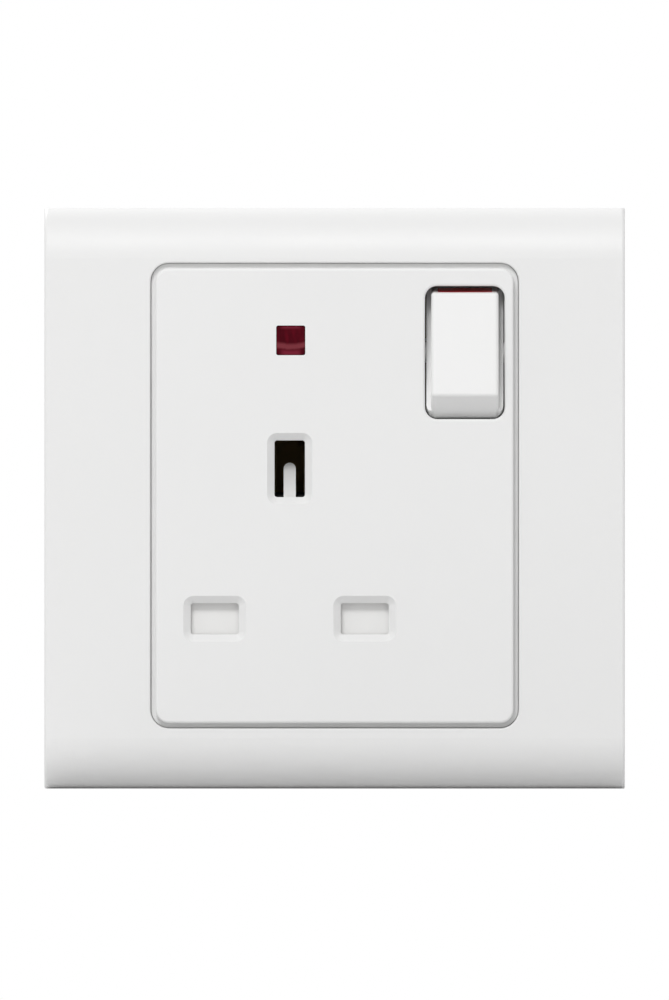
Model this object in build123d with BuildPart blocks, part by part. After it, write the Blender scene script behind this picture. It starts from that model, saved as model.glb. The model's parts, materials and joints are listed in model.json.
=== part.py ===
from build123d import *
from math import cos, radians, sin, sqrt, tan
import os

# Switched wall socket. X runs to the right of the plate, Z up, and the front faces -Y.
# The origin is the centre of the plate on the wall. Heights are counted from the wall towards the front,
# so that what lies inside the wall box has a negative height.

# Plate and frame
PLATE_WIDTH = 86.0
PLATE_HEIGHT = 86.0
FRAME_FACE = 8.5  # height of the frame's front
FRAME_WALL = 2.0
ROLL_DEPTH = 5.9  # how far the upper and lower edges roll back
WINDOW_BORDER = 0.7  # flat between the window and the roll above it
SIDE_ROUND = 0.5
WINDOW_ROUND = 0.3
WINDOW_LIP = 3.5  # depth of the window's return, from the frame's front
WINDOW_LIP_WALL = 1.6
PRY_NOTCH_WIDTH = 9.0
PRY_NOTCH_RISE = 1.1

# Module
MODULE_WIDTH = 54.3
MODULE_BORDER = 8.65  # frame above and below the module, where the module is centred
MODULE_RISE = 0.4  # module centre above the plate's centre
MODULE_FACE = 9.5  # height of the module's front
MODULE_GAP = 0.1  # play between module and frame
MODULE_CORNER = 2.0
GROOVE_WIDTH = 0.65  # shoulder round the module's face, which shows as a groove
GROOVE_DEPTH = 0.95  # shoulder below the frame's front
MODULE_EDGE = 0.4
COVER_FRONT = 2.2  # thickness of the front wall
COVER_SKIRT = 2.0

# Pins of the plug, and their apertures
PIN_SPACING = 22.23  # line to neutral, and earth above their line
PINS_INSET = 20.5  # earth pin from the module's left side
LIVE_RISE = 16.1  # live pins above the module's foot
LIVE_PIN_LENGTH = 17.7
EARTH_PIN_LENGTH = 22.7
PIN_THICKNESS = 3.97
LIVE_SLOT_WIDTH = 7.1
LIVE_SLOT_HEIGHT = 4.6
EARTH_SLOT_WIDTH = 4.5
EARTH_SLOT_HEIGHT = 8.4
SLOT_CHAMFER = 1.1
SLOT_CHAMFER_ANGLE = 45.0
SLOT_CORNER = 0.4

# Mounting plate and wall fixing
FIXING_SPACING = 60.3
FIXING_SLOT_WIDTH = 4.2
FIXING_SLOT_LENGTH = 5.0
SCREW_HEAD_RECESS = 3.6  # radius kept free round each fixing screw
SCREW_HEAD_ROOM = 3.2
MOUNT_THICKNESS = 2.0
MOUNT_GAP = 0.5  # between the mounting plate and the frame's side walls
MOUNT_END_GAP = 3.5  # between the mounting plate and the frame's upper and lower walls
MOUNT_CORNER = 3.0
MOUNT_BEARING = 2.5  # width of the plate under the housing's rim
LIP_THICKNESS = 1.5
LIP_HEIGHT = 3.6
LIP_LENGTH = 46.0
CLIP_SPACING = 28.0
CLIP_LENGTH = 8.0
CLIP_RISE = 1.4  # height of a clip's nose
CLIP_CATCH = 1.1  # how far a nose reaches into its window
CLIP_CLEARANCE = 0.2

# Rear housing
HOUSING_INSET = 1.65  # how much shorter the housing is than the module, at each end
HOUSING_WALL = 1.8
HOUSING_FLOOR = 2.0
HOUSING_CORNER = 3.0
HOUSING_EDGE = 0.5
CHAMBER_LENGTH = 10.1  # inner height of the terminal chamber
CELL_WALL = 1.2
CELL_CLEARANCE = 0.4
RIB_CLEARANCE = 0.15

# Contacts
STRIP = 0.8
STRIP_BEND = 0.9
CLIP_WIDTH = 6.0
CLIP_GRIP = 0.05  # play between a pin and the contact's throat
CLIP_BACK = 0.9  # how much wider the contact is at its root than at its throat
CLIP_FLARE = 0.8
CLIP_MOUTH = 3.0  # height of the contacts' mouths
EARTH_MOUTH = 1.4
EARTH_CLIP_WIDTH = 7.0
THROAT_DROP = 2.2  # throat below the mouth
PIN_TIP_CLEARANCE = 0.2
BAR_WIDTH = 5.0
LINE_BAR_WIDTH = 3.0

# Terminals
BLOCK_WIDTH = 8.0
BLOCK_HEIGHT = 8.0
BLOCK_DEPTH = 7.8
BLOCK_ROUND = 0.5
WIRE_BORE = 2.1  # radius of the wire's bore
WIRE_FLOOR = 1.2  # metal in front of the wire's bore
WIRE_ENTRY = 3.0  # radius of the entry in the housing
TERMINAL_SCREW = 1.7
TERMINAL_HEAD = 2.7
TERMINAL_HEAD_HEIGHT = 1.8
TERMINAL_ACCESS = 3.1
THREAD_PLAY = 0.05
DRIVER_SLOT = 0.8
DRIVER_SLOT_DEPTH = 0.8

# Screws that hold housing, plate and cover together
SCREW_SHANK = 1.45
SCREW_HEAD = 2.4
SCREW_HEAD_HEIGHT = 1.8
SCREW_LENGTH = 17.5
SCREW_PILLAR = 2.8
SCREW_EAR = 4.0
CROSS_ARM = 1.5
SCREW_CLEARANCE = 0.2
SCREW_SHAFT_WALL = 1.2
SCREW_SIDE_INSET = 4.0  # lower screws from the housing's sides
SCREW_FOOT_INSET = 2.9
SCREW_TOP_INSET = 5.1

# Rocker switch
SWITCH_INSET = 7.85  # pivot from the module's right side
SWITCH_DROP = 13.15  # pivot below the module's top
PIVOT_DEPTH = 4.0  # pivot below the module's front
ROCKER_WIDTH = 10.0
ROCKER_LENGTH = 15.65  # of the face
ROCKER_CLEARANCE = 0.15  # between the rocker's ends and the aperture's rear edges, as they pass
ROCKER_FACE = 5.56  # pivot to the face
ROCKER_BACK = 1.0
ROCKER_WALL = 1.4
ROCKER_ROUND = 0.5
FLANGE_SIDE = 0.7  # base of the rocker beyond its sides, which closes the aperture beside it
FLANGE_FRONT = 1.6  # in front of the pivot
FLANGE_RADIUS = 8.7
ROCK_ANGLE = 13.0  # to each side of the middle
SWITCH_SLOT_WIDTH = 11.8
SWITCH_SLOT_HEIGHT = 19.7
SWITCH_SLOT_CORNER = 1.8
SWITCH_SLOT_ROUND = 0.4
TRUNNION = 1.5
TRUNNION_PLAY = 0.08
TRUNNION_LENGTH = 1.9
CHEEK = 1.6
CHEEK_HEIGHT = 19.0
CHEEK_TIP = 2.6  # cheek behind the pivot
SNAP = 0.3  # how much narrower the snap-in slot is than the trunnion, at each side
STEM = 2.7
STEM_BORE = 1.8
STEM_BORE_TOP = 3.2
MARK_WIDTH = 8.0
MARK_DEPTH = 0.6
MARK_START = 0.4  # behind the rocker's face
MARK_END = 5.2
PLUNGER = 1.72
PLUNGER_PROUD = 3.3  # beyond the stem
PLUNGER_LENGTH = 7.0

# Rocking contact
LEVER_TILT = 8.0  # to each side of the middle
LEVER_VEE = 14.3
LEVER_ARM = 7.6
LEVER_THICKNESS = 1.0
LEVER_WIDTH = 5.0
LEVER_SEAT = 0.8  # fulcrum to the middle of the sheet
LEVER_CLEARANCE = 0.22  # under the plunger, in the middle of its stroke
FULCRUM_PLAY = 0.1
TIP_RADIUS = 1.6
TIP_HEIGHT = 1.2
TIP_ARM = 6.3
TIP_GAP = 0.25
FIXED_TIP_HEIGHT = 1.25

# Shutter
SHUTTER_THICKNESS = 1.8
SHUTTER_PLAY = 0.3
SHUTTER_LAP = 1.0  # cover beyond each live slot
SHUTTER_TRAVEL = 5.6
SHUTTER_STEM = 6.4
SHUTTER_FILLET = 1.5
TONGUE_WIDTH = 1.8
TONGUE_HEIGHT = 5.1  # above the earth slot's lower edge
TONGUE_SLOPE = 36.0  # from the front plane
RAIL = 1.2
RAIL_DEPTH = 2.2
STOP_LENGTH = 5.0
PEG = 0.8
PEG_LENGTH = 1.6

# Springs
SHUTTER_COIL = 1.3
SHUTTER_WIRE = 0.24
SHUTTER_TURNS = 6
ROCKER_COIL = 1.3
ROCKER_WIRE = 0.22
ROCKER_TURNS = 5
SPRING_SEAT = 0.05

# Neon indicator
NEON_OFFSET = 0.15  # to the right of the earth pin
NEON_DROP = 11.35  # below the module's top
LENS_WIDTH = 4.3
LENS_HEIGHT = 4.4
LENS_PLAY = 0.08
LENS_RECESS = 0.25
LENS_FLANGE = 1.0
LENS_FLANGE_LAP = 1.0
LENS_ROUND = 0.3
LAMP_RADIUS = 2.0
LAMP_LENGTH = 9.0
LAMP_GAP = 0.3
LAMP_PIP = 0.5
LAMP_PINCH = 1.3
LEAD = 0.3
LEAD_PITCH = 1.6
LEAD_BEND = 1.0
LEAD_STANDOFF = 1.9  # leads run this far in front of the line contact's bar
RESISTOR_RADIUS = 1.1
RESISTOR_LENGTH = 6.3
RESISTOR_OFFSET = 7.7  # to the right of the lamp
RESISTOR_WAIST = 0.15

# Worked out from the sizes above
module_height = PLATE_HEIGHT - 2 * MODULE_BORDER
module_top = MODULE_RISE + module_height / 2
module_foot = MODULE_RISE - module_height / 2
pins_x = PINS_INSET - MODULE_WIDTH / 2
line_z = module_foot + LIVE_RISE
switch_x = MODULE_WIDTH / 2 - SWITCH_INSET
switch_z = module_top - SWITCH_DROP
neon_x = pins_x + NEON_OFFSET
neon_z = module_top - NEON_DROP
cover_back = MOUNT_THICKNESS
shoulder = FRAME_FACE - GROOVE_DEPTH
wall_back = MODULE_FACE - COVER_FRONT
window_width = MODULE_WIDTH + 2 * MODULE_GAP
window_height = module_height + 2 * MODULE_GAP
cover_corner = MODULE_CORNER + GROOVE_WIDTH
window_corner = cover_corner + MODULE_GAP
roll_start = MODULE_RISE + window_height / 2 + WINDOW_BORDER
edge_rise = FRAME_FACE - ROLL_DEPTH
frame_inside = PLATE_WIDTH / 2 - FRAME_WALL
mount_width = 2 * (frame_inside - MOUNT_GAP)
mount_height = PLATE_HEIGHT - 2 * (FRAME_WALL + MOUNT_END_GAP)
clip_level = MOUNT_THICKNESS + LIP_HEIGHT / 2
nose_tip = frame_inside - MOUNT_GAP - CLIP_CATCH
fixing_x = FIXING_SPACING / 2
line_x = pins_x + PIN_SPACING / 2
neutral_x = pins_x - PIN_SPACING / 2
earth_z = line_z + PIN_SPACING
live_floor = MODULE_FACE - LIVE_PIN_LENGTH - PIN_TIP_CLEARANCE - STRIP
earth_floor = MODULE_FACE - EARTH_PIN_LENGTH - PIN_TIP_CLEARANCE - STRIP
floor_outside = live_floor - HOUSING_FLOOR
block_front = earth_floor
chamber_floor = block_front - BLOCK_DEPTH
housing_back = chamber_floor - HOUSING_FLOOR
housing_height = module_height - 2 * HOUSING_INSET
housing_top = housing_height / 2 - HOUSING_WALL
housing_side = switch_x + BLOCK_WIDTH / 2 + CELL_CLEARANCE
housing_width = 2 * (housing_side + HOUSING_WALL)
chamber_z = housing_top - CHAMBER_LENGTH
block_z = housing_top - 2 * RIB_CLEARANCE - BLOCK_HEIGHT / 2
wire_level = block_front - WIRE_FLOOR - WIRE_BORE
throat = PIN_THICKNESS / 2 + CLIP_GRIP
clip_outside = throat + CLIP_BACK + STRIP
leaf_throat = throat + STRIP / 2
leaf_root = leaf_throat + CLIP_BACK
leaf_mouth = leaf_throat + CLIP_FLARE
live_throat = CLIP_MOUTH - THROAT_DROP
earth_throat = EARTH_MOUTH - THROAT_DROP
chamber_middle = chamber_z + CHAMBER_LENGTH / 2
step_z = (chamber_z + block_z - BLOCK_HEIGHT / 2) / 2
bar_end = block_z + BLOCK_HEIGHT / 2 - STRIP
cell_side = CLIP_WIDTH / 2 + CELL_CLEARANCE
cell_top = line_z + clip_outside + CELL_CLEARANCE
cell_foot = line_z - clip_outside - CELL_CLEARANCE
well_side = clip_outside + CELL_CLEARANCE
well_foot = earth_z - EARTH_CLIP_WIDTH / 2 - CELL_CLEARANCE
earth_wall_top = earth_z + EARTH_CLIP_WIDTH / 2
line_arm_z = cell_top + CELL_WALL + LINE_BAR_WIDTH / 2
pivot_level = MODULE_FACE - PIVOT_DEPTH
half_face = ROCKER_LENGTH / 2
skirt_radius = sqrt((SWITCH_SLOT_HEIGHT / 2)**2 + (PIVOT_DEPTH - COVER_FRONT)**2) - ROCKER_CLEARANCE
skirt_back = sqrt(skirt_radius**2 - ROCKER_BACK**2)
flare = (skirt_radius - half_face) / ROCKER_FACE
lever_front = LEVER_SEAT + LEVER_THICKNESS / 2 / cos(radians(LEVER_VEE))
vee = radians(LEVER_VEE)
closed = radians(-LEVER_TILT)
lever_tip = LEVER_SEAT + LEVER_ARM * tan(vee)
tip_seat_u = LEVER_SEAT + TIP_ARM * tan(vee) - LEVER_THICKNESS / 2 * cos(vee)
tip_seat_v = TIP_ARM + LEVER_THICKNESS / 2 * sin(vee)
tip_u = tip_seat_u - TIP_HEIGHT * cos(vee)
tip_v = tip_seat_v + TIP_HEIGHT * sin(vee)
fixed_z = switch_z - tip_u * sin(closed) + tip_v * cos(closed)
closed_tip = live_floor + STRIP + FIXED_TIP_HEIGHT + TIP_GAP + TIP_RADIUS * sin(vee + closed)
fulcrum_level = closed_tip - tip_u * cos(closed) - tip_v * sin(closed)
plunger_tip = pivot_level - fulcrum_level - lever_front - LEVER_CLEARANCE
stem_length = plunger_tip - PLUNGER_PROUD
cheek_tip = pivot_level - CHEEK_TIP
trunnion_end = ROCKER_WIDTH / 2 + TRUNNION_LENGTH
inner_face = ROCKER_FACE - ROCKER_WALL
flange_chord = sqrt(FLANGE_RADIUS**2 - FLANGE_FRONT**2)
flange_back = sqrt(FLANGE_RADIUS**2 - ROCKER_BACK**2)
inner_half = half_face - ROCKER_WALL + ROCKER_WALL * flare
inner_back = skirt_back - ROCKER_WALL
mark_front = ROCKER_FACE - MARK_START
mark_back = ROCKER_FACE - MARK_END
mark_outline = [(mark_front, half_face + MARK_START * flare),
                (mark_front, half_face + MARK_START * flare - MARK_DEPTH),
                (mark_back, half_face + MARK_END * flare - MARK_DEPTH),
                (mark_back, half_face + MARK_END * flare)]
plunger_head = plunger_tip - PLUNGER_LENGTH
rocker_spring_length = STEM_BORE_TOP + plunger_head - 2 * (SPRING_SEAT + ROCKER_WIRE)
shutter_front = wall_back - SHUTTER_PLAY
shutter_back = shutter_front - SHUTTER_THICKNESS
shutter_top = line_z + LIVE_SLOT_HEIGHT / 2 + SHUTTER_LAP
shutter_foot = line_z - LIVE_SLOT_HEIGHT / 2 - SHUTTER_LAP
shutter_left = neutral_x - LIVE_SLOT_WIDTH / 2 - SHUTTER_LAP
shutter_right = line_x + LIVE_SLOT_WIDTH / 2 + SHUTTER_LAP
slot_foot = earth_z - EARTH_SLOT_HEIGHT / 2
cover_foot = module_foot + COVER_SKIRT
spring_level = wall_back - SHUTTER_PLAY - SHUTTER_COIL - SHUTTER_WIRE
pad_back = spring_level - SHUTTER_COIL - SHUTTER_WIRE
shutter_spring_length = shutter_foot - cover_foot - 2 * (SPRING_SEAT + SHUTTER_WIRE)
ramp_back = shutter_front - TONGUE_HEIGHT * tan(radians(TONGUE_SLOPE))
ramp_foot = slot_foot - SHUTTER_THICKNESS
tongue_shoulder = slot_foot + TONGUE_HEIGHT - TONGUE_WIDTH / 2
stem_rail_foot = shutter_top + SHUTTER_FILLET + RAIL
stem_rail_top = slot_foot - SLOT_CHAMFER
end_rail_foot = shutter_foot - SHUTTER_TRAVEL - SHUTTER_PLAY
line_bar_x = switch_x - BLOCK_WIDTH / 2 - RIB_CLEARANCE - LINE_BAR_WIDTH / 2
screw_side = housing_width / 2 - SCREW_SIDE_INSET
screw_foot = SCREW_FOOT_INSET - housing_height / 2
top_screw = ((pins_x + switch_x) / 2, housing_height / 2 - SCREW_TOP_INSET)
screw_places = [(-screw_side, screw_foot), (screw_side, screw_foot), top_screw]
terminal_xs = [neutral_x, pins_x, switch_x]
screw_tip = floor_outside + SCREW_LENGTH
lamp_front = wall_back - LENS_FLANGE - LAMP_GAP
lamp_back = lamp_front - LAMP_LENGTH
lamp_shoulder = lamp_front - LAMP_PIP - LAMP_RADIUS
lead_level = live_floor + STRIP + LEAD_STANDOFF
resistor_x = neon_x + RESISTOR_OFFSET
resistor_left = resistor_x - RESISTOR_LENGTH / 2
resistor_crest = lead_level + RESISTOR_RADIUS
resistor_waist = resistor_crest - RESISTOR_WAIST
rib_reach = BLOCK_WIDTH / 2 + RIB_CLEARANCE + CELL_WALL / 2
rib_xs = [neutral_x + rib_reach, pins_x - rib_reach, pins_x + rib_reach,
          switch_x - rib_reach]


def level(height):
    """Plane parallel to the wall: x to the right, y up, facing the front."""
    return Plane.XZ.offset(height)


def side(x, height=0.0, z=0.0, tilt=0.0):
    """Upright plane across the plate: x towards the front, y up, turned by tilt about the X axis."""
    forward = (0, -cos(radians(tilt)), -sin(radians(tilt)))
    return Plane(origin=(x, -height, z), x_dir=forward, z_dir=(-1, 0, 0))


def plan(z):
    """Level plane: x to the right, y towards the front, facing down."""
    return Plane(origin=(0, 0, z), x_dir=(1, 0, 0), z_dir=(0, 0, -1))


os.makedirs("parts", exist_ok=True)

# Front frame: rolled section carried across, hollow behind, with the module's window and its return
with BuildPart() as front_frame:
    with BuildSketch(side(0)):
        with BuildLine():
            Polyline((edge_rise, -PLATE_HEIGHT / 2), (0, -PLATE_HEIGHT / 2), (0, PLATE_HEIGHT / 2),
                     (edge_rise, PLATE_HEIGHT / 2))
            TangentArc((FRAME_FACE, roll_start), (edge_rise, PLATE_HEIGHT / 2), tangent=(0, 1))
            Line((FRAME_FACE, -roll_start), (FRAME_FACE, roll_start))
            TangentArc((FRAME_FACE, -roll_start), (edge_rise, -PLATE_HEIGHT / 2), tangent=(0, -1))
        make_face()
    extrude(amount=PLATE_WIDTH / 2, both=True)
    back = front_frame.faces().sort_by(Axis.Y)[-1]
    offset(amount=-FRAME_WALL, openings=back)
    ends = front_frame.faces().filter_by(Plane.YZ).sort_by(Axis.X)
    rims = (ends[0].edges() + ends[-1].edges()).filter_by(lambda edge: edge.center().Y < -edge_rise)
    fillet(rims, SIDE_ROUND)
    with BuildSketch(level(FRAME_FACE - WINDOW_LIP)):
        with Locations((0, MODULE_RISE)):
            RectangleRounded(window_width + 2 * WINDOW_LIP_WALL, window_height + 2 * WINDOW_LIP_WALL,
                             window_corner + WINDOW_LIP_WALL)
    extrude(amount=WINDOW_LIP - FRAME_WALL / 2)
    with BuildSketch(level(0)):
        with Locations((0, MODULE_RISE)):
            RectangleRounded(window_width, window_height, window_corner)
    extrude(amount=FRAME_FACE, mode=Mode.SUBTRACT)
    front_face = front_frame.faces().filter_by(Plane.XZ).sort_by(Axis.Y)[0]
    fillet(front_face.inner_wires()[0].edges(), WINDOW_ROUND)
    # Snap noses inside the two side walls
    for hand in (-1, 1):
        for z in (-CLIP_SPACING / 2, CLIP_SPACING / 2):
            with BuildSketch(plan(z + CLIP_LENGTH / 2)):
                with BuildLine():
                    Polyline((hand * frame_inside, clip_level - CLIP_RISE / 2),
                             (hand * frame_inside, clip_level + CLIP_RISE / 2),
                             (hand * nose_tip, clip_level),
                             (hand * nose_tip, clip_level - CLIP_RISE / 2),
                             (hand * frame_inside, clip_level - CLIP_RISE / 2))
                make_face()
            extrude(amount=CLIP_LENGTH)
    # Notch in the lower rim for lifting the frame off
    with BuildSketch(level(0)):
        with Locations((0, -PLATE_HEIGHT / 2 + FRAME_WALL / 2)):
            Rectangle(PRY_NOTCH_WIDTH, FRAME_WALL)
    extrude(amount=PRY_NOTCH_RISE, mode=Mode.SUBTRACT)
front_frame.part.label = "front_frame"
export_step(front_frame.part, "parts/front_frame.step")

# Mounting plate: flat plate with fixing slots, screw ears and two lips with windows for the frame's noses
with BuildPart() as mounting_plate:
    with BuildSketch(level(0)):
        RectangleRounded(mount_width, mount_height, MOUNT_CORNER)
        RectangleRounded(housing_width - 2 * MOUNT_BEARING, housing_height - 2 * MOUNT_BEARING,
                         HOUSING_CORNER, mode=Mode.SUBTRACT)
        with Locations(*screw_places):
            Circle(SCREW_EAR)
        with Locations(*screw_places):
            Circle(SCREW_SHANK + SCREW_CLEARANCE, mode=Mode.SUBTRACT)
        with Locations((-fixing_x, 0), (fixing_x, 0)):
            SlotOverall(FIXING_SLOT_LENGTH, FIXING_SLOT_WIDTH, mode=Mode.SUBTRACT)
    extrude(amount=MOUNT_THICKNESS)
    with BuildSketch(level(MOUNT_THICKNESS)):
        with GridLocations(mount_width - LIP_THICKNESS, 0, 2, 1):
            Rectangle(LIP_THICKNESS, LIP_LENGTH)
    extrude(amount=LIP_HEIGHT)
    with BuildSketch(side(mount_width / 2)):
        with Locations((clip_level, -CLIP_SPACING / 2), (clip_level, CLIP_SPACING / 2)):
            Rectangle(CLIP_RISE + 2 * CLIP_CLEARANCE, CLIP_LENGTH + 2 * CLIP_CLEARANCE)
    extrude(amount=mount_width, mode=Mode.SUBTRACT)
mounting_plate.part.label = "mounting_plate"
export_step(mounting_plate.part, "parts/mounting_plate.step")

# Module cover: front moulding with the apertures, the rocker's bearings and the shutter's guides
with BuildPart() as module_cover:
    with BuildSketch(level(cover_back)):
        with Locations((0, MODULE_RISE)):
            RectangleRounded(MODULE_WIDTH, module_height, cover_corner)
    extrude(amount=shoulder - cover_back)
    with BuildSketch(level(shoulder)):
        with Locations((0, MODULE_RISE)):
            RectangleRounded(MODULE_WIDTH - 2 * GROOVE_WIDTH, module_height - 2 * GROOVE_WIDTH, MODULE_CORNER)
    extrude(amount=MODULE_FACE - shoulder)
    fillet(module_cover.faces().sort_by(Axis.Y)[0].edges(), MODULE_EDGE)
    with BuildSketch(level(cover_back)):
        with Locations((0, MODULE_RISE)):
            Rectangle(MODULE_WIDTH - 2 * COVER_SKIRT, module_height - 2 * COVER_SKIRT)
    extrude(amount=wall_back - cover_back, mode=Mode.SUBTRACT)
    # Pillars for the screws from behind
    with BuildSketch(level(cover_back)):
        with Locations(*screw_places):
            Circle(SCREW_PILLAR)
    extrude(amount=wall_back - cover_back)
    with BuildSketch(level(cover_back)):
        with Locations(*screw_places):
            Circle(SCREW_SHANK + THREAD_PLAY)
    extrude(amount=screw_tip + SCREW_CLEARANCE - cover_back, mode=Mode.SUBTRACT)
    # Bearing cheek beside the rocker, and the bearings with their snap-in slots
    with BuildSketch(side(switch_x - SWITCH_SLOT_WIDTH / 2)):
        with BuildLine():
            Polyline((wall_back, switch_z - CHEEK_HEIGHT / 2), (wall_back, switch_z + CHEEK_HEIGHT / 2),
                     (cheek_tip, switch_z + CHEEK_HEIGHT / 4), (cheek_tip, switch_z - CHEEK_HEIGHT / 4),
                     (wall_back, switch_z - CHEEK_HEIGHT / 2))
        make_face()
    extrude(amount=CHEEK)
    with BuildSketch(side(switch_x)):
        with Locations((pivot_level, switch_z)):
            Circle(TRUNNION + TRUNNION_PLAY)
        with Locations(((pivot_level + cover_back) / 2, switch_z)):
            Rectangle(pivot_level - cover_back, 2 * (TRUNNION - SNAP))
    extrude(amount=trunnion_end + TRUNNION_PLAY, both=True, mode=Mode.SUBTRACT)
    # Room for the heads of the wall fixing screws
    with BuildSketch(level(cover_back)):
        with Locations((-fixing_x, 0), (fixing_x, 0)):
            Circle(SCREW_HEAD_RECESS)
    extrude(amount=SCREW_HEAD_ROOM, mode=Mode.SUBTRACT)
    # Rails, stops and spring peg of the shutter
    with BuildSketch(level(wall_back)):
        with Locations((pins_x, (stem_rail_foot + stem_rail_top) / 2)):
            with GridLocations(SHUTTER_STEM + 2 * SHUTTER_PLAY + RAIL, 0, 2, 1):
                Rectangle(RAIL, stem_rail_top - stem_rail_foot)
        with Locations(((shutter_left + shutter_right) / 2, (end_rail_foot + shutter_top) / 2)):
            with GridLocations(shutter_right - shutter_left + 2 * SHUTTER_PLAY + RAIL, 0, 2, 1):
                Rectangle(RAIL, shutter_top - end_rail_foot)
        with Locations((neutral_x, shutter_top + SHUTTER_PLAY + RAIL / 2),
                       (line_x, shutter_top + SHUTTER_PLAY + RAIL / 2)):
            Rectangle(STOP_LENGTH, RAIL)
    extrude(amount=-RAIL_DEPTH)
    with BuildSketch(plan(cover_foot)):
        with Locations((pins_x, spring_level)):
            Circle(PEG)
    extrude(amount=-PEG_LENGTH)
    # Pin apertures with their lead-in chamfers
    with BuildSketch(level(MODULE_FACE)):
        with Locations((neutral_x, line_z), (line_x, line_z)):
            RectangleRounded(LIVE_SLOT_WIDTH + 2 * SLOT_CHAMFER, LIVE_SLOT_HEIGHT + 2 * SLOT_CHAMFER,
                             SLOT_CORNER + SLOT_CHAMFER)
        with Locations((pins_x, earth_z)):
            RectangleRounded(EARTH_SLOT_WIDTH + 2 * SLOT_CHAMFER, EARTH_SLOT_HEIGHT + 2 * SLOT_CHAMFER,
                             SLOT_CORNER + SLOT_CHAMFER)
    extrude(amount=-SLOT_CHAMFER, taper=SLOT_CHAMFER_ANGLE, mode=Mode.SUBTRACT)
    with BuildSketch(level(MODULE_FACE)):
        with Locations((neutral_x, line_z), (line_x, line_z)):
            RectangleRounded(LIVE_SLOT_WIDTH, LIVE_SLOT_HEIGHT, SLOT_CORNER)
        with Locations((pins_x, earth_z)):
            RectangleRounded(EARTH_SLOT_WIDTH, EARTH_SLOT_HEIGHT, SLOT_CORNER)
        with Locations((neon_x, neon_z)):
            RectangleRounded(LENS_WIDTH, LENS_HEIGHT, LENS_ROUND)
        with Locations((switch_x, switch_z)):
            RectangleRounded(SWITCH_SLOT_WIDTH, SWITCH_SLOT_HEIGHT, SWITCH_SLOT_CORNER)
    extrude(amount=-COVER_FRONT, mode=Mode.SUBTRACT)
    front_face = module_cover.faces().filter_by(Plane.XZ).sort_by(Axis.Y)[0]
    fillet(front_face.inner_wires().sort_by(SortBy.LENGTH)[-1].edges(), SWITCH_SLOT_ROUND)
module_cover.part.label = "module_cover"
export_step(module_cover.part, "parts/module_cover.step")

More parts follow.
